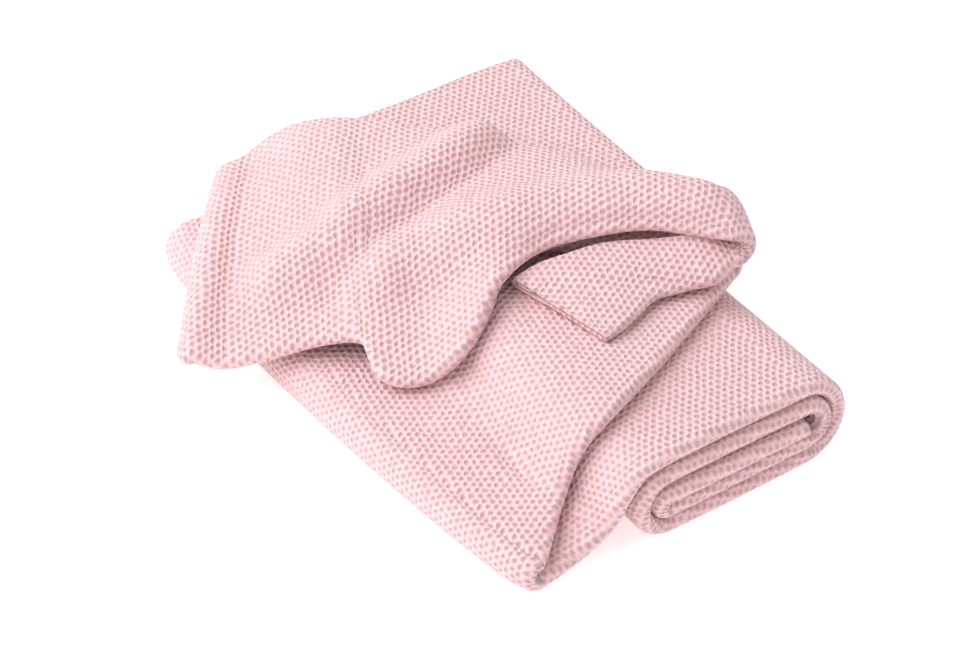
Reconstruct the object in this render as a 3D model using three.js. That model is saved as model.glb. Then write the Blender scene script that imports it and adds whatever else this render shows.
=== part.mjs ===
// A knitted swaddle blanket, folded in thirds into a strip, rolled flat, and laid back
// and forth over itself with a loose flap on top. Millimetres, +Z up. The strip runs
// along X; its rounded front fold faces -Y and its open edges face +Y.

import * as THREE from 'three';

// The cloth, and the slab that its three layers make
const CLOTH = 2.5;
const LAYER_GAP = 0.4;
const LAYER = CLOTH + LAYER_GAP;
const SLAB = 2 * LAYER + CLOTH;
const SLAB_GAP = 0.5;
const PITCH = SLAB + SLAB_GAP;

// The flat roll: centres of its turns, and its front and back edges
const TURN_LEFT = 72.4;
const TURN_RIGHT = 148.6;
const INNER_HEM = 146;
const ROLL_BACK = 245;
const ROLL_FRONT = { left: -4.8, right: -8.3, from: 60, to: 160 };

// How far the edges of each level of the roll lie behind those of the lowest
const LEVEL_SETBACK = [0, 0, -1, 2.5, 5];

// Where the layers of the slab are closed and open, as shares of the strip's width
const A_HEM = 0.985;
const CLOSED = 1.6;
const CLOSING = 0.2;

// Samples across the strip: each is one line of vertices along the cloth
const ACROSS = [0, 0.1, 0.2, 0.31, 0.43, 0.56, 0.71, 0.86, 1];
const FRONT_ARC = 4;
const BACK_ARC = 3;
const INNER_ARC = 2;

const level = (n) => SLAB / 2 + n * PITCH;
const lerp = (a, b, t) => a + (b - a) * t;
const clamp01 = (t) => Math.min(1, Math.max(0, t));
const smooth = (t) => clamp01(t) ** 2 * (3 - 2 * clamp01(t));
const vec = (p) => new THREE.Vector3(p[0], p[1], p[2]);

// Top layer of the roll, coming down to the floor at the left. A row for each section:
// bow is how far the middle of the strip lies further out along X than its ends.
const TOP_RUN = [
  { front: [59.5, 0.4, 35.8], back: [60, 249, 36.2], bow: 0 },
  { front: [51, 0.2, 25.8], back: [51, 250, 27.5], bow: 0 },
  { front: [45, 0.8, 16], back: [43, 251, 17], bow: -1 },
  { front: [36, 1.5, 9.3], back: [30, 253, 8.5], bow: -4 },
  { front: [22, 1, 5.4], back: [15, 256, 4.8], bow: -6 },
  { front: [7, 0, SLAB / 2], back: [-1, 258, SLAB / 2], bow: -8 },
];

// Second layer, going right over the first, its front edge a diagonal crease
const SECOND_RUN = [
  { front: [7.5, 1.5, 13.6], back: [1, 259, 27], bow: -8 },
  { front: [21, 12.5, 15.6], back: [15, 258, 28], bow: -6 },
  { front: [33, 22, 20.2], back: [29, 256, 31], bow: -4 },
  { front: [41.5, 26, 30.5], back: [42, 254, 38], bow: -1 },
  { front: [50, 27, 41], back: [54, 252, 45], bow: 0 },
  { front: [62, 28, 47.5], back: [66, 250, 48.2], bow: 0 },
  { front: [76, 32, 48.6], back: [80, 248, 48.6], bow: 0 },
  { front: [110, 45, level(5)], back: [112, 246, level(5)], bow: 0 },
  { front: [165, 68, level(5)], back: [169, 243, level(5)], bow: -1 },
];

// Return layer, going left on the second one, all but its right end under the flap
const RETURN_RUN = [
  { front: [165, 74, level(6)], back: [169, 243, level(6)], bow: -1 },
  { front: [150, 91, level(6)], back: [150, 245, level(6)], bow: 0 },
  { front: [110, 119, level(6)], back: [112, 246, level(6)], bow: 0 },
  { front: [84, 138, 57.4], back: [86, 247, 57.4], bow: 0 },
  { front: [62, 158, 56.8], back: [66, 248, 57], bow: 0 },
  { front: [43, 172, 50.5], back: [51, 248, 54], bow: 0 },
  { front: [26, 183, 43.5], back: [42, 248, 50.5], bow: 0 },
  { front: [10, 191, 38.5], back: [36, 249, 48], bow: 0 },
  { front: [-5, 197, 36], back: [32, 250, 46], bow: 0, crown: 1 },
  { front: [-16, 200, 34], back: [29, 252, 44.5], bow: 0, crown: 2 },
  { front: [-27, 201, 29], back: [27, 253, 42], bow: 0, crown: 5 },
  { front: [-36, 199, 22], back: [25.5, 254, 40.5], bow: 0, crown: 7.5 },
];

// The flap, from its overhanging left end to the tip at the right. Its front edge makes
// the wide S: a corner, an arch, a lobe that rests on the cloth, and the roll to the tip.
// crown is the rise of the middle of the section over the line from front to back.
const FLAP_RUN = [
  { front: [-48.5, 186, 30], back: [22, 256, 53.5], crown: 8 },
  { front: [-40, 173, 26], back: [32, 260, 54], crown: 10 },
  { front: [-19.5, 161, 31.5], back: [42, 259, 57], crown: 11 },
  { front: [1, 149.3, 37], back: [53, 251, 62.8], crown: 13 },
  { front: [12, 136, 40.5], back: [65, 240, 66], crown: 12 },
  { front: [9, 121, 34.5], back: [76, 231, 66.2], crown: 13 },
  { front: [15, 112, 31.5], back: [85, 221, 66.5], crown: 15 },
  { front: [26, 105, 33.5], back: [94, 210, 66.5], crown: 15 },
  { front: [38, 100, 44], back: [104, 198, 66.5], crown: 13 },
  { front: [53, 103, 55.5], back: [114, 186, 66.5], crown: 10 },
  { front: [68, 111, 63.5], back: [125, 172, 66.5], crown: 8 },
  { front: [93, 115, 68], back: [137, 156, 66.5], crown: 7 },
  { front: [119, 105, 72], back: [149, 135, 66.5], crown: 7 },
  { front: [138.5, 93, 74], back: [159, 117, 68], crown: 7 },
  { front: [153, 77, 74], back: [167, 101, 71], crown: 6 },
  { front: [162, 66, 74.5], back: [170.5, 87, 75.5], crown: 4 },
];

// The end of the blanket, tucked back under the flap from its tip. Towards its hem the
// middle layer draws back and the two outer ones lie on each other.
const TONGUE_RUN = [
  { front: [161, 63, 61], back: [166, 79, 66.5], tuck: 0 },
  { front: [149, 60.5, 59], back: [152, 80, 65], tuck: 0.06 },
  { front: [136, 64.5, 57.2], back: [136, 90, 58.5], tuck: 0.2 },
  { front: [121, 68.5, 56.8], back: [117, 101, 57.4], tuck: 0.4 },
  { front: [108, 65, 56.3], back: [100, 106, 57.4], tuck: 0.6 },
  { front: [97, 62, 55.8], back: [88, 110, 57.4], tuck: 0.75 },
  { front: [87, 61, 55.5], back: [76, 111, 57.4], tuck: 0.8 },
];

// Soft ridges and hollows of the flap: rise over a strip of the given half width along a
// line of points in plan
const RIDGES = [
  {
    name: 'front roll',
    rise: 8,
    half: 13,
    line: [[157, 86], [142, 106], [122, 118], [94, 131], [72, 141], [52, 146], [38, 152]],
  },
  {
    name: 'middle ridge', rise: 10, half: 11, line: [[112, 186], [92, 182], [60, 181], [22, 178], [-4, 184]],
  },
  {
    name: 'back ridge', rise: 3, half: 16, line: [[132, 150], [103, 189], [77, 225], [53, 242]],
  },
  {
    name: 'hollow', rise: -6, half: 14, line: [[60, 120], [47, 135]],
  },
  {
    name: 'valley', rise: -3, half: 10, line: [[112, 172], [70, 166], [44, 164], [14, 162]],
  },
];

function row(front, back, options = {}) {
  return {
    front: vec(front),
    back: vec(back),
    bow: options.bow ?? 0,
    crown: options.crown ?? 0,
    relief: options.relief ?? 0,
    tuck: options.tuck ?? 0,
  };
}

// Front edge of the roll's lowest level at a place along X
function rollFront(x) {
  return lerp(ROLL_FRONT.left, ROLL_FRONT.right, (x - ROLL_FRONT.from) / (ROLL_FRONT.to - ROLL_FRONT.from));
}

function rollRow(x, z, setback) {
  return row([x, rollFront(x) + setback, z], [x, ROLL_BACK + setback, z]);
}

// One half turn of the flat roll, between two levels, around a centre at the given x
function rollTurn(x, fromLevel, toLevel, segments) {
  const z = (level(fromLevel) + level(toLevel)) / 2;
  const radius = Math.abs(level(toLevel) - level(fromLevel)) / 2;
  const side = x === TURN_RIGHT ? 1 : -1;
  const up = Math.sign(toLevel - fromLevel);
  const rows = [];
  for (let i = 0; i <= segments; i += 1) {
    const angle = (Math.PI * i) / segments;
    const setback = lerp(LEVEL_SETBACK[fromLevel], LEVEL_SETBACK[toLevel], i / segments);
    rows.push(rollRow(x + side * radius * Math.sin(angle), z - up * radius * Math.cos(angle), setback));
  }
  return rows;
}

// The wound part, from the hem at its heart to the start of the top layer
function rollRows() {
  return [
    rollRow(INNER_HEM, level(2), LEVEL_SETBACK[2]),
    ...rollTurn(TURN_LEFT, 2, 1, 4),
    ...rollTurn(TURN_RIGHT, 1, 3, 5),
    ...rollTurn(TURN_LEFT, 3, 0, 6),
    ...rollTurn(TURN_RIGHT, 0, 4, 8),
    rollRow(TURN_LEFT, level(4), LEVEL_SETBACK[4]),
  ];
}

function tableRows(table, options = {}) {
  return table.map((entry) => row(entry.front, entry.back, { ...entry, ...options }));
}

// A turn over from one row to the next that bulges out along a level direction
function turnRows(from, to, bulgeFront, bulgeBack, segments) {
  const rows = [];
  for (let i = 1; i < segments; i += 1) {
    const angle = (Math.PI * i) / segments;
    const share = (1 - Math.cos(angle)) / 2;
    const out = Math.sin(angle);
    rows.push({
      ...from,
      front: from.front.clone().lerp(to.front, share).addScaledVector(vec(bulgeFront), out),
      back: from.back.clone().lerp(to.back, share).addScaledVector(vec(bulgeBack), out),
      bow: lerp(from.bow, to.bow, share),
      crown: lerp(from.crown, to.crown, share),
      relief: lerp(from.relief, to.relief, share),
    });
  }
  return rows;
}

function stripRows() {
  const top = tableRows(TOP_RUN);
  const second = tableRows(SECOND_RUN);
  const back = tableRows(RETURN_RUN);
  const flap = tableRows(FLAP_RUN, { relief: 1 });
  const tongue = tableRows(TONGUE_RUN);
  return [
    ...rollRows(),
    ...top,
    ...turnRows(top.at(-1), second[0], [-5, 0, 0], [-11.5, 4, 0], 6),
    ...second,
    ...turnRows(second.at(-1), back[0], [4.4, 0, 0], [4.4, 0, 0], 5),
    ...back,
    ...turnRows(back.at(-1), flap[0], [-7.5, 1.8, -3], [-8.5, 4, -1], 7),
    ...flap,
    ...turnRows(flap.at(-1), tongue[0], [7.2, -2.8, 0], [7, 0.5, 0], 6),
    ...tongue,
  ];
}

// Nearest distance in plan from a point to a line of points
function distanceToLine(x, y, line) {
  let best = Infinity;
  for (let i = 0; i + 1 < line.length; i += 1) {
    const [ax, ay] = line[i];
    const [bx, by] = line[i + 1];
    const span = (bx - ax) ** 2 + (by - ay) ** 2;
    const t = clamp01(((x - ax) * (bx - ax) + (y - ay) * (by - ay)) / span);
    best = Math.min(best, Math.hypot(x - lerp(ax, bx, t), y - lerp(ay, by, t)));
  }
  return best;
}

function relief(x, y) {
  return RIDGES.reduce((sum, ridge) => {
    const away = distanceToLine(x, y, ridge.line) / ridge.half;
    return sum + ridge.rise * Math.exp(-away * away);
  }, 0);
}

// A row's middle surface at a share v of the way from front to back
function pointOnRow(entry, v) {
  const point = entry.front.clone().lerp(entry.back, v);
  const rise = Math.sin(Math.PI * v);
  point.x += entry.bow * Math.sqrt(Math.max(0, rise));
  point.z += entry.crown * rise;
  return point;
}

// Stations along the strip: the rows, with the flap's ridges
function stations(rows) {
  return rows.map((entry) => ({
    tuck: entry.tuck,
    points: ACROSS.map((v) => {
      const point = pointOnRow(entry, v);
      point.z += entry.relief * smooth(v / 0.12) * relief(point.x, point.y);
      return point;
    }),
  }));
}

// Unit vectors at one sample: across the strip, and away from its middle surface
function frameAt(list, i, j) {
  const last = ACROSS.length - 1;
  const before = list[Math.max(0, i - 1)].points[j];
  const after = list[Math.min(list.length - 1, i + 1)].points[j];
  const along = after.clone().sub(before).normalize();
  const points = list[i].points;
  const across = points[Math.min(last, j + 1)].clone().sub(points[Math.max(0, j - 1)]);
  const normal = along.clone().cross(across).normalize();
  return { across: across.addScaledVector(normal, -across.dot(normal)).normalize(), normal };
}

// A point at sample j, moved along the normal, and across the strip by a further bit
function offsetPoint(station, j, away, further = 0) {
  const { across, normal } = station.frames[j];
  return station.points[j].clone().addScaledVector(normal, away).addScaledVector(across, further);
}

// How far the outer layers' middles lie from the slab's middle, at a share of the width
function spreadAt(station, share) {
  const closed = smooth(station.tuck / CLOSING) * (1 - smooth(1 + (share - station.tuck) / CLOSING));
  return lerp(LAYER, CLOSED, closed);
}

// One face of one layer as points from front to back. side says which layer it is: -1
// and 1 are the outer ones and 0 the middle one. shares are its places across the strip.
function layerFace(station, side, lift, shares) {
  return shares.map((share) => {
    const found = ACROSS.findIndex((sample) => sample >= share);
    const next = Math.max(1, found);
    const t = (share - ACROSS[next - 1]) / (ACROSS[next] - ACROSS[next - 1]);
    const away = side * spreadAt(station, share) + lift;
    return offsetPoint(station, next - 1, away).lerp(offsetPoint(station, next, away), t);
  });
}

// Points of a half circle around an edge sample, from one distance off the slab's middle
// to another, bulging in front of the sample (-1) or behind it (1)
function foldArc(station, j, from, to, segments, side) {
  const radius = (to - from) / 2;
  const points = [];
  for (let i = 1; i < segments; i += 1) {
    const angle = (Math.PI * i) / segments;
    const away = (from + to) / 2 - radius * Math.cos(angle);
    points.push(offsetPoint(station, j, away, side * Math.abs(radius) * Math.sin(angle)));
  }
  return points;
}

// The section of the folded cloth: two chains of points, one on each face of the cloth,
// from the free hem of the outer layer round the front fold and back to the inner hem
function section(station) {
  const half = CLOTH / 2;
  const last = ACROSS.length - 1;
  const free = ACROSS.map((share, j) => (j === last ? A_HEM : share));
  const tucked = ACROSS.slice(1).map((share) => lerp(share, 1, station.tuck));
  const front = spreadAt(station, 0);
  return {
    outer: [
      ...layerFace(station, -1, -half, free).reverse(),
      ...foldArc(station, 0, -front - half, front + half, FRONT_ARC, -1),
      ...layerFace(station, 1, half, ACROSS),
      ...foldArc(station, last, LAYER + half, -half, BACK_ARC, 1),
      ...layerFace(station, 0, -half, tucked).reverse(),
    ],
    inner: [
      ...layerFace(station, -1, half, free).reverse(),
      ...foldArc(station, 0, -front + half, front - half, INNER_ARC, -1),
      ...layerFace(station, 1, -half, ACROSS),
      ...layerFace(station, 0, half, tucked).reverse(),
    ],
  };
}

// Which way each edge of the section's ring runs across the strip, front to back or not:
// all layers are cut into triangles along the same diagonal, so that they stay parallel
function ringRuns() {
  const count = ACROSS.length;
  const runs = (rising, length) => Array(length).fill(rising);
  return [
    ...runs(false, count + FRONT_ARC - 1),
    ...runs(true, count + BACK_ARC - 1),
    ...runs(false, count - 1),
    ...runs(true, count - 1),
    ...runs(false, count),
    ...runs(true, INNER_ARC - 1 + count),
  ];
}

// Triangles that fill a section between its two chains of points
function capTriangles(outer, inner, offset) {
  const triangles = [];
  const at = (chain, i) => (chain === outer ? offset + i : offset + outer.length + inner.length - 1 - i);
  let i = 0;
  let j = 0;
  while (i + 1 < outer.length || j + 1 < inner.length) {
    const stepOuter = j + 1 >= inner.length
      || (i + 1 < outer.length && outer[i + 1].distanceTo(inner[j]) < outer[i].distanceTo(inner[j + 1]));
    if (stepOuter) {
      triangles.push([at(outer, i), at(outer, i + 1), at(inner, j)]);
      i += 1;
    } else {
      triangles.push([at(outer, i), at(inner, j + 1), at(inner, j)]);
      j += 1;
    }
  }
  return triangles;
}

function clothGeometry() {
  const list = stations(stripRows());
  list.forEach((station, i) => {
    station.frames = station.points.map((_, j) => frameAt(list, i, j));
  });
  const sections = list.map(section);
  const vertices = [];
  sections.forEach(({ outer, inner }) => vertices.push(...outer, ...[...inner].reverse()));
  const runs = ringRuns();
  const ring = runs.length;
  const faces = [];
  for (let i = 0; i + 1 < sections.length; i += 1) {
    runs.forEach((rising, k) => {
      const a = i * ring + k;
      const b = i * ring + ((k + 1) % ring);
      if (rising) faces.push([a, b, b + ring], [a, b + ring, a + ring]);
      else faces.push([a, b, a + ring], [b, b + ring, a + ring]);
    });
  }
  const first = capTriangles(sections[0].outer, sections[0].inner, 0);
  const end = sections.at(-1);
  const final = capTriangles(end.outer, end.inner, (sections.length - 1) * ring);
  faces.push(...first.map(([a, b, c]) => [a, c, b]), ...final);
  return toGeometry(vertices, faces);
}

function toGeometry(vertices, faces) {
  const volume = faces.reduce((sum, [a, b, c]) => (
    sum + vertices[a].dot(vertices[b].clone().cross(vertices[c]))
  ), 0);
  const outward = volume > 0 ? faces : faces.map(([a, b, c]) => [a, c, b]);
  const geometry = new THREE.BufferGeometry();
  geometry.setAttribute('position', new THREE.Float32BufferAttribute(vertices.flatMap((p) => p.toArray()), 3));
  geometry.setIndex(outward.flat());
  geometry.computeVertexNormals();
  return geometry;
}

const geometry = clothGeometry();
geometry.computeBoundingBox();
const box = geometry.boundingBox;
geometry.translate(-(box.min.x + box.max.x) / 2, -(box.min.y + box.max.y) / 2, -box.min.z);

const cotton = new THREE.MeshStandardMaterial({ color: 0xf0cdd0, roughness: 0.9, metalness: 0 });
const blanket = new THREE.Mesh(geometry, cotton);
blanket.name = 'blanket';

const group = new THREE.Group();
group.add(blanket);

export default group;
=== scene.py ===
"""A knitted baby blanket, folded in thirds, rolled flat and laid over itself.

The cloth is one sheet. It is made as a fine grid that follows the same rows of named
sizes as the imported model, laid flat again to place its knit, and given its thickness.
"""

import math
from collections import namedtuple

import bmesh
import bpy
import numpy as np
from bpy.props import FloatProperty, FloatVectorProperty, PointerProperty
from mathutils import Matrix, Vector


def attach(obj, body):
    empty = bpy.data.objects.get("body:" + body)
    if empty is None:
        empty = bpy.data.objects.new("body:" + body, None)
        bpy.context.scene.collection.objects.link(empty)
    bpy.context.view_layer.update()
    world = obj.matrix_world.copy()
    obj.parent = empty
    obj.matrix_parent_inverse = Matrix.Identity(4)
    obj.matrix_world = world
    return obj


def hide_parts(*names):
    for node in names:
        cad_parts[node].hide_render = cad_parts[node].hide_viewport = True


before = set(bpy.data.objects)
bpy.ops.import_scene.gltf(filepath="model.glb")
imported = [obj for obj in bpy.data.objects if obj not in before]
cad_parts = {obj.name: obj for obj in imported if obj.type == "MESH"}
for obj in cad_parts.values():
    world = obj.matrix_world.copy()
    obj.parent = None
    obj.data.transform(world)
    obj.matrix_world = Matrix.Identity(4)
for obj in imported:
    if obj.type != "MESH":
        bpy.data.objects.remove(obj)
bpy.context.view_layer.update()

bl_info = {
    "name": "Folded swaddle blanket",
    "version": (1, 0, 0),
    "blender": (4, 5, 0),
    "location": "View3D > Sidebar > Blanket",
    "description": "Folds a knitted blanket and sets it on a pale floor",
    "category": "Object",
}

MM = 0.001

# Where the model's origin lies among the sizes below, in millimetres
ORIGIN = (60.54, 126.09, 0.0)

# The cloth, and the slab that its three layers make, in millimetres
CLOTH = 2.5
LAYER_GAP = 0.4
SLAB_GAP = 0.5
LAYER = CLOTH + LAYER_GAP
SLAB = 2 * LAYER + CLOTH
PITCH = SLAB + SLAB_GAP

# The flat roll along X: centres of its turns, and the hem at its heart
TURN_LEFT = 72.4
TURN_RIGHT = 148.6
HEART_HEM = 146.0

# The flat roll along Y: its back edge, its front edge at two places along X, and how far
# each level is set back
ROLL_BACK = 245.0
ROLL_FRONT_LEFT = -4.8
ROLL_FRONT_RIGHT = -8.3
ROLL_FRONT_FROM = 60.0
ROLL_FRONT_TO = 160.0
LEVEL_SETBACK = [0, 0, -1, 2.5, 5]

# Each half turn of the roll: its centre, the levels it leaves and reaches, and its segments
ROLL_TURNS = [
    (TURN_LEFT, 2, 1, 4),
    (TURN_RIGHT, 1, 3, 5),
    (TURN_LEFT, 3, 0, 6),
    (TURN_RIGHT, 0, 4, 8),
]

# Each turn over from one run to the next: how far it bulges at the front edge and at the
# back edge, and its segments
LEFT_TURN = ((-5, 0, 0), (-11.5, 4, 0), 6)
RIGHT_TURN = ((4.4, 0, 0), (4.4, 0, 0), 5)
OVERHANG = ((-4.5, 1, -2), (-7.5, 4, -1), 7)
TIP = ((7.2, -2.8, 0), (7, 0.5, 0), 6)

# The knit of each run: the side that faces out, the angle of its rows seen from above,
# and the row where that angle is taken
ROLL_KNIT = (-1, -10, 27.5)
SECOND_KNIT = (1, 13, 9)
RETURN_KNIT = (-1, -10, 7)
FLAP_KNIT = (1, -8, 14)
TONGUE_KNIT = (-1, 18, 3)

# Where the long hems of the outer and of the middle layer lie, as shares of the width
OUTER_HEM = 0.985
MIDDLE_HEM = 0.1

# Where the middle layer is drawn back, the outer two close in: to this distance from the
# slab's middle, in millimetres, and over this share of the width
CLOSED = 1.6
CLOSING = 0.2

# The longest step along the strip and the extra length counted for each radian of a bend,
# in millimetres, and how many lines run along each layer and round each fold
STEP = 4.5
TURN_EXTRA = 7.0
OUTER_LINES = 40
FRONT_FOLD_LINES = 8
BACK_FOLD_LINES = 5
MIDDLE_LINES = 14

Row = namedtuple("Row", "front back bow crown relief tuck", defaults=(0, 0, 0, 0))
Span = namedtuple("Span", "first last outside grain sample")


def level(n):
    return SLAB / 2 + n * PITCH


# Each row: its front and its back edge, how far its middle bows along X and rises as a
# crown, its share of the ridges, and the share by which its middle layer is drawn back
TOP_RUN = [
    Row((59.5, 0.4, 35.8), (60, 249, 36.2)),
    Row((51, 0.2, 25.8), (51, 250, 27.5)),
    Row((45, 0.8, 16), (43, 251, 17), -1),
    Row((36, 1.5, 9.3), (30, 253, 8.5), -4),
    Row((22, 1, 5.4), (15, 256, 4.8), -6),
    Row((7, 0, SLAB / 2), (-1, 258, SLAB / 2), -8),
]

SECOND_RUN = [
    Row((7.5, 1.5, 13.6), (1, 259, 27), -8),
    Row((21, 12.5, 15.6), (15, 258, 28), -6),
    Row((33, 22, 20.2), (29, 256, 31), -4, relief=1),
    Row((41.5, 26, 30.5), (42, 254, 38), -1, relief=1),
    Row((50, 27, 41), (54, 252, 45), relief=1),
    Row((62, 28, 47.5), (66, 250, 48.2)),
    Row((76, 32, 48.6), (80, 248, 48.6)),
    Row((110, 45, level(5)), (112, 246, level(5))),
    Row((165, 68, level(5)), (169, 243, level(5)), -1),
]

RETURN_RUN = [
    Row((165, 74, level(6)), (169, 243, level(6)), -1),
    Row((150, 91, level(6)), (150, 245, level(6))),
    Row((110, 119, level(6)), (112, 246, level(6))),
    Row((84, 138, 57.4), (86, 247, 57.4)),
    Row((62, 158, 56.8), (66, 248, 57)),
    Row((43, 172, 50.5), (51, 248, 54)),
    Row((26, 183, 43.5), (42, 248, 50.5)),
    Row((10, 191, 38.5), (36, 249, 48)),
    Row((-5, 197, 36), (32, 250, 46), crown=1),
    Row((-16, 200, 34), (29, 252, 44.5), crown=2),
    Row((-27, 201, 29), (27, 253, 42), crown=5),
    Row((-36, 199, 22), (25.5, 254, 40.5), crown=7.5),
]

FLAP_RUN = [
    Row((-50, 181.5, 29.5), (22, 256, 53.5), crown=8, relief=1),
    Row((-39, 172.5, 26.5), (32, 257, 54), crown=7.5, relief=1),
    Row((-19.5, 161, 31.5), (42, 256, 57.5), crown=9, relief=1),
    Row((1, 149.3, 37), (53, 249.5, 62.8), crown=11.5, relief=1),
    Row((12, 136, 40.5), (65, 240, 66), crown=12, relief=1),
    Row((9, 121, 34.5), (76, 231, 66.2), crown=13, relief=1),
    Row((15, 112, 31.5), (85, 221, 66.5), crown=15, relief=1),
    Row((26, 105, 33.5), (94, 210, 66.5), crown=15, relief=1),
    Row((38, 100, 44), (104, 198, 66.5), crown=13, relief=1),
    Row((53, 103, 55.5), (114, 186, 66.5), crown=10, relief=1),
    Row((68, 111, 63.5), (125, 172, 66.5), crown=8, relief=1),
    Row((93, 115, 68), (137, 156, 66.5), crown=7, relief=1),
    Row((119, 105, 72), (149, 135, 66.5), crown=7, relief=1),
    Row((138.5, 93, 74), (159, 117, 68), crown=7, relief=1),
    Row((153, 77, 74), (167, 101, 71), crown=6, relief=1),
    Row((162, 66, 74.5), (170.5, 87, 75.5), crown=4, relief=1),
]

TONGUE_RUN = [
    Row((161, 63, 61), (166, 79, 66.5)),
    Row((149, 60.5, 59.5), (152, 80, 66.5), tuck=0.06, crown=1),
    Row((136, 64.5, 57.4), (136, 90, 63.5), tuck=0.2, crown=2),
    Row((121, 68.5, 56.8), (117, 101, 63), tuck=0.4, crown=2),
    Row((108, 65, 56.3), (100, 106, 62), tuck=0.6, crown=1.5),
    Row((97, 62, 55.8), (88, 110, 60), tuck=0.75, crown=1),
    Row((87, 61, 55.5), (76, 111, 57.4), tuck=0.8),
]

# Soft ridges and hollows of the flap and of the layer below it: rise, half width, and a
# line of points in plan
RIDGES = [
    (8, 13, [(157, 86), (142, 106), (122, 118), (94, 131), (72, 141), (52, 146), (38, 152)]),
    (10, 11, [(112, 186), (92, 182), (60, 181), (22, 178), (-4, 184)]),
    (3, 16, [(132, 150), (103, 189), (77, 225), (53, 242)]),
    (-6, 13, [(52, 128), (42, 138)]),
    (-3, 10, [(112, 172), (70, 166), (44, 164), (14, 162)]),
    (-3, 9, [(43, 98), (35, 65), (29, 40)]),
]

# Share of the width over which the ridges rise from nothing at the front edge
RIDGE_START = 0.12

# Laying flat: rounds of fitting, rows and lines of the coarse grid, and the least values
# of an edge's weight, of a triangle's area and of a turn's size
FLAT_ROUNDS = 60
FLAT_ROW_STEP = 3
FLAT_LINES = 15
LEAST_WEIGHT = 0.02
LEAST_AREA = 1e-6
LEAST_SIZE = 1e-9


def lerp(a, b, t):
    return a + (b - a) * t


def smooth(t):
    t = np.clip(t, 0, 1)
    return t * t * (3 - 2 * t)


def roll_row(x, z, setback):
    share = (x - ROLL_FRONT_FROM) / (ROLL_FRONT_TO - ROLL_FRONT_FROM)
    front = lerp(ROLL_FRONT_LEFT, ROLL_FRONT_RIGHT, share) + setback
    return Row((x, front, z), (x, ROLL_BACK + setback, z))


def roll_turn(x, start, end, segments):
    """One half turn of the flat roll, from one level to another."""
    middle = (level(start) + level(end)) / 2
    radius = abs(level(end) - level(start)) / 2
    side = 1 if x == TURN_RIGHT else -1
    up = math.copysign(1, end - start)
    rows = []
    for i in range(segments + 1):
        angle = math.pi * i / segments
        setback = lerp(LEVEL_SETBACK[start], LEVEL_SETBACK[end], i / segments)
        across = side * radius * math.sin(angle)
        rows.append(roll_row(x + across, middle - up * radius * math.cos(angle), setback))
    return rows


def roll_rows():
    """The wound part, from the hem at its heart to the start of the top layer."""
    rows = [roll_row(HEART_HEM, level(2), LEVEL_SETBACK[2])]
    for turn in ROLL_TURNS:
        rows += roll_turn(*turn)
    rows.append(roll_row(TURN_LEFT, level(4), LEVEL_SETBACK[4]))
    return rows


def turn_rows(start, end, bulge_front, bulge_back, segments):
    """A turn over from one row to the next."""
    rows = []
    for i in range(1, segments):
        angle = math.pi * i / segments
        share = (1 - math.cos(angle)) / 2
        out = math.sin(angle)
        front = lerp(np.array(start.front), np.array(end.front), share) + np.array(bulge_front) * out
        back = lerp(np.array(start.back), np.array(end.back), share) + np.array(bulge_back) * out
        rows.append(Row(
            tuple(front),
            tuple(back),
            lerp(start.bow, end.bow, share),
            lerp(start.crown, end.crown, share),
            lerp(start.relief, end.relief, share),
            start.tuck,
        ))
    return rows


def strip_rows():
    """All rows of the strip, and the spans that are laid flat one by one for their knit."""
    left_turn = turn_rows(TOP_RUN[-1], SECOND_RUN[0], *LEFT_TURN)
    right_turn = turn_rows(SECOND_RUN[-1], RETURN_RUN[0], *RIGHT_TURN)
    overhang = turn_rows(RETURN_RUN[-1], FLAP_RUN[0], *OVERHANG)
    tip = turn_rows(FLAP_RUN[-1], TONGUE_RUN[0], *TIP)
    runs = [
        (roll_rows() + TOP_RUN, ROLL_KNIT),
        (left_turn + SECOND_RUN, SECOND_KNIT),
        (right_turn + RETURN_RUN, RETURN_KNIT),
        (overhang + FLAP_RUN + tip, FLAP_KNIT),
        (TONGUE_RUN, TONGUE_KNIT),
    ]
    rows = []
    spans = []
    for run, (outside, grain, sample) in runs:
        start = len(rows)
        rows += run
        spans.append(Span(max(0, start - 1), len(rows) - 1, outside, grain, start + sample))
    return rows, spans


def ease_along(values, lengths, places):
    """Values at places between the rows, on a curve that leaves straight stretches straight."""
    reach = np.concatenate([[0], lengths, [0]])
    padded = np.concatenate([values[:1], values, values[-1:]])
    slopes = (padded[2:] - padded[:-2]) / (reach[:-1] + reach[1:])[:, None]
    i = np.minimum(places.astype(int), len(values) - 2)
    t = (places - i)[:, None]
    h = lengths[i][:, None]
    start = (2 * t**3 - 3 * t**2 + 1) * values[i] + (t**3 - 2 * t**2 + t) * h * slopes[i]
    end = (3 * t**2 - 2 * t**3) * values[i + 1] + (t**3 - t**2) * h * slopes[i + 1]
    return start + end


def fine_places(front, back):
    """Places along the rows, closer together where the strip turns."""
    middle = (front + back) / 2
    steps = np.diff(middle, axis=0)
    chords = np.linalg.norm(steps, axis=1)
    chords = np.maximum(chords, np.linalg.norm(np.diff(front, axis=0), axis=1))
    chords = np.maximum(chords, np.linalg.norm(np.diff(back, axis=0), axis=1))
    headings = steps / np.linalg.norm(steps, axis=1)[:, None]
    bends = np.arccos(np.clip((headings[1:] * headings[:-1]).sum(1), -1, 1))
    bend = np.maximum(np.append(bends, 0), np.append(0, bends))
    counts = np.ceil((chords + TURN_EXTRA * bend) / STEP).astype(int)
    places = [i + np.arange(n) / n for i, n in enumerate(counts)]
    return np.concatenate(places + [[len(front) - 1]])


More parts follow.
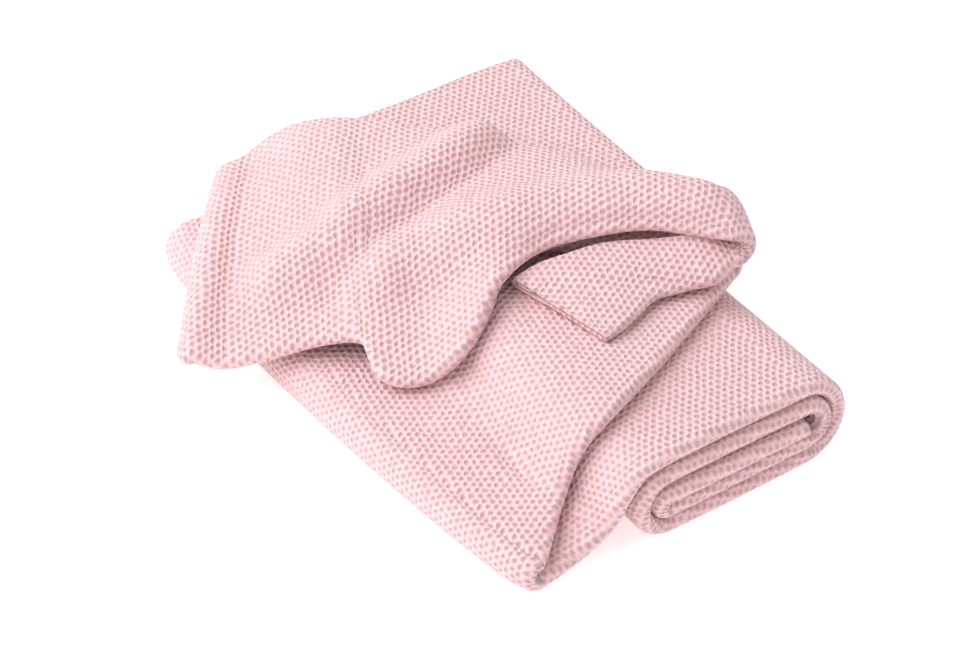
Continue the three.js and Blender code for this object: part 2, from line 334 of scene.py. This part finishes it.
def distance_to_line(x, y, line):
    """Nearest distance in plan from points to a line of points."""
    best = np.full(x.shape, np.inf)
    for (ax, ay), (bx, by) in zip(line, line[1:]):
        span = (bx - ax) ** 2 + (by - ay) ** 2
        t = np.clip(((x - ax) * (bx - ax) + (y - ay) * (by - ay)) / span, 0, 1)
        best = np.minimum(best, np.hypot(x - lerp(ax, bx, t), y - lerp(ay, by, t)))
    return best


def relief(x, y):
    total = np.zeros(x.shape)
    for rise, half, line in RIDGES:
        total += rise * np.exp(-((distance_to_line(x, y, line) / half) ** 2))
    return total


def middle_surface(fine, shares):
    """The slab's middle surface at shares of the way from front to back."""
    v = shares[None, :]
    points = lerp(fine["front"][:, None, :], fine["back"][:, None, :], v[..., None])
    rise = np.sin(math.pi * v)
    points[..., 0] += fine["bow"][:, None] * np.sqrt(np.maximum(0, rise))
    points[..., 2] += fine["crown"][:, None] * rise
    lift = relief(points[..., 0], points[..., 1]) * smooth(v / RIDGE_START)
    points[..., 2] += fine["relief"][:, None] * lift
    return points


def surface_frames(points):
    """Unit vectors across the strip and away from its middle surface."""
    along = np.gradient(points, axis=0)
    across = np.gradient(points, axis=1)
    normal = np.cross(along, across)
    normal /= np.linalg.norm(normal, axis=2)[..., None]
    across -= normal * (across * normal).sum(2)[..., None]
    across /= np.linalg.norm(across, axis=2)[..., None]
    return across, normal


def fine_rows(rows):
    front = np.array([entry.front for entry in rows], float)
    back = np.array([entry.back for entry in rows], float)
    places = fine_places(front, back)
    front_lengths = np.linalg.norm(np.diff(front, axis=0), axis=1)
    back_lengths = np.linalg.norm(np.diff(back, axis=0), axis=1)
    lengths = (front_lengths + back_lengths) / 2
    fine = {
        "places": places,
        "front": ease_along(front, front_lengths, places),
        "back": ease_along(back, back_lengths, places),
    }
    for name in ("bow", "crown", "relief"):
        values = np.array([getattr(entry, name) for entry in rows], float)
        fine[name] = ease_along(values[:, None], lengths, places)[:, 0]
    tuck = np.array([entry.tuck for entry in rows], float)
    fine["tuck"] = np.interp(places, np.arange(len(rows)), tuck)
    return fine


def offset_lines(base, shares, away, further=None):
    """Lines along the cloth: places at shares of the width, moved off the middle surface."""
    points, across, normal = base
    last = points.shape[1] - 1
    place = np.clip(shares * last, 0, last)
    j = np.minimum(place.astype(int), last - 1)
    t = (place - j)[..., None]
    i = np.arange(points.shape[0])[:, None]
    near = points[i, j] + normal[i, j] * away[..., None]
    far = points[i, j + 1] + normal[i, j + 1] * away[..., None]
    lines = near * (1 - t) + far * t
    if further is not None:
        side = across[i, j] * (1 - t) + across[i, j + 1] * t
        lines = lines + side * further[..., None]
    return lines


def spread(tuck, shares):
    """How far the outer layers' middles lie from the slab's middle."""
    closed = smooth(tuck / CLOSING) * (1 - smooth(1 + (shares - tuck) / CLOSING))
    return lerp(LAYER, CLOSED, closed)


def line_shares(tuck):
    """Shares of the width for the lines of the outer, the inner and the middle layer."""
    ones = np.ones((len(tuck), 1))
    outer = ones * np.append(np.linspace(1, 0, OUTER_LINES, endpoint=False), 0)[None, :]
    outer[:, 0] = OUTER_HEM
    inner = ones * np.linspace(0, 1, OUTER_LINES + 1)[None, :]
    middle = lerp(ones * np.linspace(1, MIDDLE_HEM, MIDDLE_LINES)[None, :], 1, tuck)
    return outer, inner, middle


def folded_cloth(fine, base):
    """The whole sheet, from its outer hem round both folds to its inner hem."""
    count = len(fine["places"])
    tuck = fine["tuck"][:, None]
    ones = np.ones((count, 1))
    outer, inner, middle = line_shares(tuck)
    front = math.pi * np.arange(1, FRONT_FOLD_LINES)[None, :] / FRONT_FOLD_LINES * ones
    back = math.pi * np.arange(1, BACK_FOLD_LINES)[None, :] / BACK_FOLD_LINES * ones
    radius = spread(tuck, np.zeros((count, 1)))
    return np.concatenate([
        offset_lines(base, outer, -spread(tuck, outer)),
        offset_lines(base, front * 0, -radius * np.cos(front), -radius * np.sin(front)),
        offset_lines(base, inner, spread(tuck, inner)),
        offset_lines(base, back * 0 + 1, LAYER / 2 * (1 + np.cos(back)), LAYER / 2 * np.sin(back)),
        offset_lines(base, middle, middle * 0),
    ], axis=1)


def grid_triangles(rows, columns):
    index = np.arange(rows * columns).reshape(rows, columns)
    a, b, c, d = index[:-1, :-1], index[1:, :-1], index[1:, 1:], index[:-1, 1:]
    return np.concatenate([
        np.stack([a, b, c], -1).reshape(-1, 3),
        np.stack([a, c, d], -1).reshape(-1, 3),
    ])


def triangles_in_plane(corners):
    """Each triangle on a plane of its own, and twice its area."""
    first = corners[:, 1] - corners[:, 0]
    second = corners[:, 2] - corners[:, 0]
    length = np.linalg.norm(first, axis=1)
    local = np.zeros((len(corners), 3, 2))
    local[:, 1, 0] = length
    local[:, 2, 0] = (first * second).sum(1) / length
    local[:, 2, 1] = np.linalg.norm(np.cross(first, second), axis=1) / length
    return local, np.maximum(length * local[:, 2, 1], LEAST_AREA)


def weighted_edges(local, area):
    """The sides of all triangles as corner numbers, each with its weights."""
    edges = []
    for k in range(3):
        m, n = (k + 1) % 3, (k + 2) % 3
        weight = ((local[:, m] - local[:, k]) * (local[:, n] - local[:, k])).sum(1) / area
        edges.append((m, n, np.maximum(weight, LEAST_WEIGHT)))
    return edges


def inverse_matrix(triangles, edges, total):
    """The inverse of the weights' matrix, with the first point held."""
    matrix = np.zeros((total, total))
    for m, n, weight in edges:
        i, j = triangles[:, m], triangles[:, n]
        np.add.at(matrix, (i, i), weight)
        np.add.at(matrix, (j, j), weight)
        np.add.at(matrix, (i, j), -weight)
        np.add.at(matrix, (j, i), -weight)
    matrix[0, 0] += 1
    return np.linalg.inv(matrix)


def unrolled(points):
    """A first guess of the flat places, from the lengths along and across the grid."""
    rows, columns = points.shape[:2]
    along = np.linalg.norm(np.diff(points, axis=0), axis=2).mean(1)
    across = np.linalg.norm(np.diff(points, axis=1), axis=2)
    flat = np.zeros((rows, columns, 2))
    flat[..., 0] = np.concatenate([[0], np.cumsum(along)])[:, None]
    flat[:, 1:, 1] = np.cumsum(across, axis=1)
    return flat.reshape(-1, 2)


def fitted_turns(flat, triangles, local, edges):
    """Cosine and sine of the turn that fits each triangle to its flat place."""
    cosine = np.zeros(len(triangles))
    sine = np.zeros(len(triangles))
    for m, n, weight in edges:
        here = local[:, m] - local[:, n]
        there = flat[triangles[:, m]] - flat[triangles[:, n]]
        cosine += weight * (here * there).sum(1)
        sine += weight * (here[:, 0] * there[:, 1] - here[:, 1] * there[:, 0])
    size = np.maximum(np.hypot(cosine, sine), LEAST_SIZE)
    return cosine / size, sine / size


def lay_flat(points):
    """Places on a plane for a grid of points, with its triangles stretched as little as can be."""
    rows, columns = points.shape[:2]
    total = rows * columns
    triangles = grid_triangles(rows, columns)
    local, area = triangles_in_plane(points.reshape(-1, 3)[triangles])
    edges = weighted_edges(local, area)
    inverse = inverse_matrix(triangles, edges, total)
    flat = unrolled(points)
    for _ in range(FLAT_ROUNDS):
        cosine, sine = fitted_turns(flat, triangles, local, edges)
        pull = np.zeros((total, 2))
        for m, n, weight in edges:
            here = local[:, m] - local[:, n]
            turned = np.stack([
                here[:, 0] * cosine - here[:, 1] * sine,
                here[:, 0] * sine + here[:, 1] * cosine,
            ], -1) * weight[:, None]
            np.add.at(pull, triangles[:, m], turned)
            np.add.at(pull, triangles[:, n], -turned)
        flat = inverse @ pull
    return flat.reshape(rows, columns, 2)


def span_layout(base, first, last, outside):
    """The outer face of one span laid flat, for every line of its middle surface."""
    points, _, normal = base
    rows = np.unique(np.linspace(first, last, 3 + (last - first) // FLAT_ROW_STEP).astype(int))
    columns = np.linspace(0, points.shape[1] - 1, FLAT_LINES).astype(int)
    reach = outside * (LAYER + CLOTH / 2)
    face = (points + normal * reach)[rows][:, columns]
    flat = lay_flat(face)
    wanted_rows = np.arange(first, last + 1)
    wanted_columns = np.arange(points.shape[1])
    layout = np.zeros((len(wanted_rows), len(wanted_columns), 2))
    for axis in range(2):
        wide = np.stack([np.interp(wanted_columns, columns, line) for line in flat[..., axis]])
        layout[..., axis] = np.stack([np.interp(wanted_rows, rows, line) for line in wide.T], -1)
    return layout


def turn_to_grain(layout, heading, outside, grain):
    """Turn a layout so that the rows of the knit run at an angle seen from above."""
    run = heading["flat"]
    plan = heading["plan"]
    laid = math.atan2(run[1], run[0])
    seen = math.atan2(plan[1], plan[0])
    angle = laid + outside * (math.radians(grain) - seen)
    cosine, sine = math.cos(angle), math.sin(angle)
    return np.stack([
        layout[..., 0] * cosine + layout[..., 1] * sine,
        -layout[..., 0] * sine + layout[..., 1] * cosine,
    ], -1)


def at_shares(layout, shares):
    """Places between the lines of a layout, at shares of its width."""
    lines = layout.shape[1] - 1
    place = np.clip(shares * lines, 0, lines)
    j = np.minimum(place.astype(int), lines - 1)
    t = (place - j)[..., None]
    i = np.arange(len(layout))[:, None]
    return layout[i, j] * (1 - t) + layout[i, j + 1] * t


def across_front_fold(places, edge):
    """Places of one outer layer carried over to the other one."""
    other = places.copy()
    other[..., 1] = 2 * edge[..., 1] - math.pi * LAYER - other[..., 1]
    return other


def sheet_layout(layout, tuck, outside):
    """Flat places of the whole sheet, from its outer hem to its inner hem."""
    outer, inner, middle = (at_shares(layout, shares) for shares in line_shares(tuck))
    edge = layout[:, :1]
    rim = layout[:, -1:]
    down = np.array([0, 1])
    front_length = math.pi * LAYER
    back_length = math.pi * LAYER / 2
    front = np.arange(1, FRONT_FOLD_LINES) / FRONT_FOLD_LINES * front_length
    back = np.arange(1, BACK_FOLD_LINES) / BACK_FOLD_LINES * back_length
    if outside < 0:
        inner = across_front_fold(inner, edge)
        rim_inside = across_front_fold(rim, edge)
        front_fold = edge - down * front[None, :, None]
        back_fold = rim_inside - down * back[None, :, None]
        middle[..., 1] += rim_inside[..., 1] - back_length - rim[..., 1]
    else:
        outer = across_front_fold(outer, edge)
        front_fold = edge - down * (front_length - front)[None, :, None]
        back_fold = rim + down * back[None, :, None]
        middle[..., 1] = 2 * rim[..., 1] + back_length - middle[..., 1]
    return np.concatenate([outer, front_fold, inner, back_fold, middle], 1)


def span_map(fine, base, span):
    """Flat places of the whole sheet along one span, in millimetres."""
    places = fine["places"]
    first = int(np.searchsorted(places, span.first))
    last = int(np.searchsorted(places, span.last))
    layout = span_layout(base, first, last, span.outside)
    sheet = sheet_layout(layout, fine["tuck"][first:last + 1, None], span.outside)
    sample = int(np.searchsorted(places, span.sample))
    centre = layout.shape[1] // 2
    heading = {
        "flat": layout[sample - first + 2, centre] - layout[sample - first - 2, centre],
        "plan": base[0][sample + 2, centre] - base[0][sample - 2, centre],
    }
    return first, last, turn_to_grain(sheet, heading, span.outside, span.grain)


def cloth_mesh(name, surface, maps):
    """A grid moved onto the folded sheet, with its flat places as a UV map in metres."""
    count, lines = surface.shape[:2]
    bm = bmesh.new()
    bmesh.ops.create_grid(bm, x_segments=count - 1, y_segments=lines - 1, size=1)
    layer = bm.loops.layers.uv.new("cloth")
    spots = {}
    for vert in bm.verts:
        i = round((vert.co.x + 1) / 2 * (count - 1))
        j = round((vert.co.y + 1) / 2 * (lines - 1))
        spots[vert] = (i, j)
        vert.co = surface[i, j]
    for face in bm.faces:
        face.smooth = True
        low = min(spots[vert][0] for vert in face.verts)
        first, _, flat = next(entry for entry in maps if low < entry[1])
        for loop in face.loops:
            i, j = spots[loop.vert]
            loop[layer].uv = flat[i - first, j] * MM
    mesh = bpy.data.meshes.new(name)
    bm.to_mesh(mesh)
    bm.free()
    return mesh


def folded_blanket(thickness):
    rows, spans = strip_rows()
    fine = fine_rows(rows)
    points = middle_surface(fine, np.linspace(0, 1, OUTER_LINES + 1))
    base = (points, *surface_frames(points))
    surface = (folded_cloth(fine, base) - np.array(ORIGIN)) * MM
    maps = [span_map(fine, base, span) for span in spans]
    mesh = cloth_mesh("swaddle_blanket", surface, maps)
    piece = bpy.data.objects.new("swaddle_blanket", mesh)
    bpy.context.scene.collection.objects.link(piece)
    solid = piece.modifiers.new("cloth thickness", "SOLIDIFY")
    solid.thickness = thickness
    solid.offset = 0
    solid.use_quality_normals = True
    return piece


# Sockets of the colour mix node, which share their names
MIX_SHARE, MIX_FIRST, MIX_SECOND, MIX_RESULT = 0, 6, 7, 2


class Nodes:
    """Short calls for the nodes of one material."""

    def __init__(self, tree):
        self.tree = tree

    def add(self, kind, **settings):
        node = self.tree.nodes.new(kind)
        for name, value in settings.items():
            setattr(node, name, value)
        return node

    def join(self, source, target):
        self.tree.links.new(source, target)

    def feed(self, socket, value):
        if isinstance(value, bpy.types.NodeSocket):
            self.join(value, socket)
        else:
            socket.default_value = value

    def maths(self, operation, *values, clamp=False):
        node = self.add("ShaderNodeMath", operation=operation, use_clamp=clamp)
        for socket, value in zip(node.inputs, values):
            self.feed(socket, value)
        return node.outputs[0]

    def vector(self, operation, *values):
        node = self.add("ShaderNodeVectorMath", operation=operation)
        for socket, value in zip(node.inputs, values):
            self.feed(socket, value)
        return node.outputs["Value" if operation in {"LENGTH", "DOT_PRODUCT"} else "Vector"]

    def ramp(self, value, low, high, start=0.0, end=1.0, kind="SMOOTHSTEP"):
        node = self.add("ShaderNodeMapRange", interpolation_type=kind)
        for name, setting in (("From Min", low), ("From Max", high), ("To Min", start), ("To Max", end)):
            node.inputs[name].default_value = setting
        self.feed(node.inputs["Value"], value)
        return node.outputs["Result"]

    def blend(self, share, first, second):
        node = self.add("ShaderNodeMix", data_type="RGBA")
        self.feed(node.inputs[MIX_SHARE], share)
        self.feed(node.inputs[MIX_FIRST], first)
        self.feed(node.inputs[MIX_SECOND], second)
        return node.outputs[MIX_RESULT]

    def noise(self, place, scale, detail=2.0):
        node = self.add("ShaderNodeTexNoise")
        node.inputs["Scale"].default_value = scale
        node.inputs["Detail"].default_value = detail
        self.feed(node.inputs["Vector"], place)
        return node.outputs["Fac"], node.outputs["Color"]


def hole_distance(nodes, place, spacing):
    """How far a place lies from the nearest hole of the staggered knit, in hole spacings."""
    row = math.sqrt(3)
    scaled = nodes.vector("MULTIPLY", place, (1 / spacing, 1 / (spacing * row), 0))
    distances = []
    for shift in (0.0, 0.5):
        moved = nodes.vector("ADD", scaled, (shift, shift, 0))
        cell = nodes.vector("FRACTION", moved)
        centred = nodes.vector("SUBTRACT", cell, (0.5, 0.5, 0))
        distances.append(nodes.vector("LENGTH", nodes.vector("MULTIPLY", centred, (1, row, 0))))
    return nodes.maths("MINIMUM", *distances)


# How the rows of holes stray: noise scales per metre, and reach in metres
WANDER = (90.0, 0.0022)
JITTER = (420.0, 0.0012)

# The knit's relief and colour, and the shade painted into its holes; distances from a hole are in hole
# spacings
HOLE_WALL = (0.05, 0.56)
HOLE_SHADE = (0.06, 0.33)
# Painted shade: how far the holes are darkened towards the hole shade colour
HOLE_SHADE_STRENGTH = 0.72
STRAND_SCALE = 1500.0
STRAND_HEIGHT = 0.35
PATCH_SCALE = 16.0
PATCH_EDGE = (0.35, 0.65)
PATCH_TONES = (0.985, 0.965, 0.968)


def stray(nodes, flat, scale, reach):
    """A small sideways shift of the knit, different from place to place."""
    colour = nodes.noise(flat, scale)[1]
    centred = nodes.vector("SUBTRACT", colour, (0.5, 0.5, 0.5))
    return nodes.vector("MULTIPLY", centred, (reach, reach, 0))


def knit_material(cloth):
    material = bpy.data.materials.new("honeycomb_knit")
    material.use_nodes = True
    nodes = Nodes(material.node_tree)
    shader = material.node_tree.nodes["Principled BSDF"]
    flat = nodes.add("ShaderNodeUVMap", uv_map="cloth").outputs["UV"]
    place = nodes.vector("ADD", flat, stray(nodes, flat, *WANDER))
    place = nodes.vector("ADD", place, stray(nodes, flat, *JITTER))
    away = hole_distance(nodes, place, cloth.hole_spacing)
    strands = nodes.noise(flat, STRAND_SCALE, 3.0)[0]
    height = nodes.ramp(away, *HOLE_WALL)
    height = nodes.maths("ADD", height, nodes.maths("MULTIPLY", strands, STRAND_HEIGHT))
    bump = nodes.add("ShaderNodeBump")
    bump.inputs["Distance"].default_value = cloth.hole_depth
    nodes.join(height, bump.inputs["Height"])
    # Painted shade: a mask that is full at each hole's centre and fades out towards the yarn
    hole_shade_mask = nodes.ramp(away, *HOLE_SHADE, 1.0, 0.0)
    patches = nodes.noise(flat, PATCH_SCALE)[0]
    yarn = nodes.blend(
        nodes.ramp(patches, *PATCH_EDGE),
        (*cloth.yarn_colour, 1),
        (*(shade * tone for shade, tone in zip(cloth.yarn_colour, PATCH_TONES)), 1),
    )
    # The yarn, darkened in the holes by painted shade
    colour = nodes.blend(nodes.maths("MULTIPLY", hole_shade_mask, HOLE_SHADE_STRENGTH), yarn, (*cloth.hole_shade_colour, 1))
    nodes.join(colour, shader.inputs["Base Color"])
    nodes.join(bump.outputs["Normal"], shader.inputs["Normal"])
    shader.inputs["Roughness"].default_value = 0.92
    shader.inputs["Specular IOR Level"].default_value = 0.2
    shader.inputs["Sheen Weight"].default_value = 0.25
    shader.inputs["Sheen Roughness"].default_value = 0.5
    shader.inputs["Sheen Tint"].default_value = (1.0, 0.93, 0.94, 1)
    return material


def glowing_material(name, colour, glow):
    material = bpy.data.materials.new(name)
    material.use_nodes = True
    shader = material.node_tree.nodes["Principled BSDF"]
    shader.inputs["Base Color"].default_value = (*colour, 1)
    shader.inputs["Roughness"].default_value = 0.9
    shader.inputs["Specular IOR Level"].default_value = 0.1
    shader.inputs["Emission Color"].default_value = (1.0, 1.0, 1.0, 1)
    shader.inputs["Emission Strength"].default_value = glow
    return material


# The stage, in metres
FLOOR_HALF = 3.0
SOFTBOX_PLACE = (-1.0, 0.7, 1.5)
SOFTBOX_SIZE = 1.8


def add_floor(colour, glow):
    bm = bmesh.new()
    bmesh.ops.create_grid(bm, x_segments=1, y_segments=1, size=FLOOR_HALF)
    mesh = bpy.data.meshes.new("floor")
    bm.to_mesh(mesh)
    bm.free()
    floor = bpy.data.objects.new("floor", mesh)
    mesh.materials.append(glowing_material("pale_floor", colour, glow))
    bpy.context.scene.collection.objects.link(floor)


def add_softbox(name, place, target, size, power):
    light = bpy.data.lights.new(name, "AREA")
    light.shape = "SQUARE"
    light.size = size
    light.energy = power
    lamp = bpy.data.objects.new(name, light)
    lamp.location = place
    lamp.rotation_euler = (Vector(target) - Vector(place)).to_track_quat("-Z", "Y").to_euler()
    bpy.context.scene.collection.objects.link(lamp)


def add_daylight(strength):
    world = bpy.data.worlds.new("daylight")
    world.use_nodes = True
    background = world.node_tree.nodes["Background"]
    background.inputs["Color"].default_value = (1.0, 1.0, 1.0, 1)
    background.inputs["Strength"].default_value = strength
    bpy.context.scene.world = world


# The photograph's view: the turn and dip of the camera, in degrees, and what it looks at
VIEW_TURN = 36.0
VIEW_DIP = 42.0
VIEW_DISTANCE = 1300.0
VIEW_TARGET = (67.82, 117.77, 30.0)
VIEW_LENS = 106.1


def add_camera():
    turn, dip = math.radians(VIEW_TURN), math.radians(VIEW_DIP)
    look = Vector((math.sin(turn) * math.cos(dip), math.cos(turn) * math.cos(dip), -math.sin(dip)))
    target = (Vector(VIEW_TARGET) - Vector(ORIGIN)) * MM
    camera = bpy.data.cameras.new("camera")
    camera.lens = VIEW_LENS
    camera.sensor_width = 36.0
    camera.clip_start = 0.05
    camera.clip_end = 20.0
    holder = bpy.data.objects.new("camera", camera)
    holder.location = target - look * VIEW_DISTANCE * MM
    holder.rotation_euler = look.to_track_quat("-Z", "Y").to_euler()
    bpy.context.scene.collection.objects.link(holder)
    bpy.context.scene.camera = holder


class BlanketCloth(bpy.types.PropertyGroup):
    thickness: FloatProperty(
        name="Thickness", description="Thickness of the knitted cloth", default=CLOTH * MM, unit="LENGTH",
    )
    hole_spacing: FloatProperty(
        name="Hole spacing", description="Distance between neighbouring holes of the knit",
        default=0.0035, unit="LENGTH",
    )
    hole_depth: FloatProperty(
        name="Hole depth", description="How deep the holes look", default=0.0012, unit="LENGTH",
    )
    yarn_colour: FloatVectorProperty(
        name="Yarn", description="Colour of the yarn", subtype="COLOR", size=3, default=(0.93, 0.635, 0.655),
    )
    # Painted shade: the dark deep rose laid into the knit's holes, where shade falls in them
    hole_shade_colour: FloatVectorProperty(
        name="Holes", description="Colour in the holes of the knit", subtype="COLOR", size=3,
        default=(0.55, 0.24, 0.26),
    )


class BlanketStage(bpy.types.PropertyGroup):
    floor_colour: FloatVectorProperty(
        name="Floor", description="Colour of the floor", subtype="COLOR", size=3, default=(0.94, 0.94, 0.94),
    )
    floor_glow: FloatProperty(
        name="Floor glow", description="Light that the floor itself gives off", default=0.45,
    )
    daylight: FloatProperty(
        name="Daylight", description="Strength of the even light from all around", default=0.68,
    )
    softbox_power: FloatProperty(
        name="Softbox", description="Power of the large light overhead", default=38.0, unit="POWER",
    )


class OBJECT_OT_fold_blanket(bpy.types.Operator):
    """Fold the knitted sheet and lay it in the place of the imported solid"""

    bl_idname = "object.fold_blanket"
    bl_label = "Fold Blanket"

    def execute(self, context):
        cloth = context.scene.blanket_cloth
        piece = folded_blanket(cloth.thickness)
        piece.data.materials.append(knit_material(cloth))
        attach(piece, "root")
        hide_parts("blanket")
        return {"FINISHED"}


class SCENE_OT_blanket_stage(bpy.types.Operator):
    """Add the pale floor, the soft lights and the camera"""

    bl_idname = "scene.blanket_stage"
    bl_label = "Add Stage"

    def execute(self, context):
        stage = context.scene.blanket_stage
        add_floor(stage.floor_colour, stage.floor_glow)
        add_softbox("overhead", SOFTBOX_PLACE, (0, 0, 0), SOFTBOX_SIZE, stage.softbox_power)
        add_daylight(stage.daylight)
        add_camera()
        context.scene.view_settings.view_transform = "Standard"
        return {"FINISHED"}


class VIEW3D_PT_blanket(bpy.types.Panel):
    bl_label = "Folded Blanket"
    bl_space_type = "VIEW_3D"
    bl_region_type = "UI"
    bl_category = "Blanket"

    def draw(self, context):
        for group in (context.scene.blanket_cloth, context.scene.blanket_stage):
            for name in group.__annotations__:
                self.layout.prop(group, name)
        self.layout.operator(OBJECT_OT_fold_blanket.bl_idname)
        self.layout.operator(SCENE_OT_blanket_stage.bl_idname)


CLASSES = (
    BlanketCloth,
    BlanketStage,
    OBJECT_OT_fold_blanket,
    SCENE_OT_blanket_stage,
    VIEW3D_PT_blanket,
)


def register():
    for entry in CLASSES:
        bpy.utils.register_class(entry)
    bpy.types.Scene.blanket_cloth = PointerProperty(type=BlanketCloth)
    bpy.types.Scene.blanket_stage = PointerProperty(type=BlanketStage)


def unregister():
    del bpy.types.Scene.blanket_stage
    del bpy.types.Scene.blanket_cloth
    for entry in reversed(CLASSES):
        bpy.utils.unregister_class(entry)


def main():
    register()
    bpy.ops.scene.blanket_stage()
    bpy.ops.object.fold_blanket()


if __name__ == "__main__":
    main()
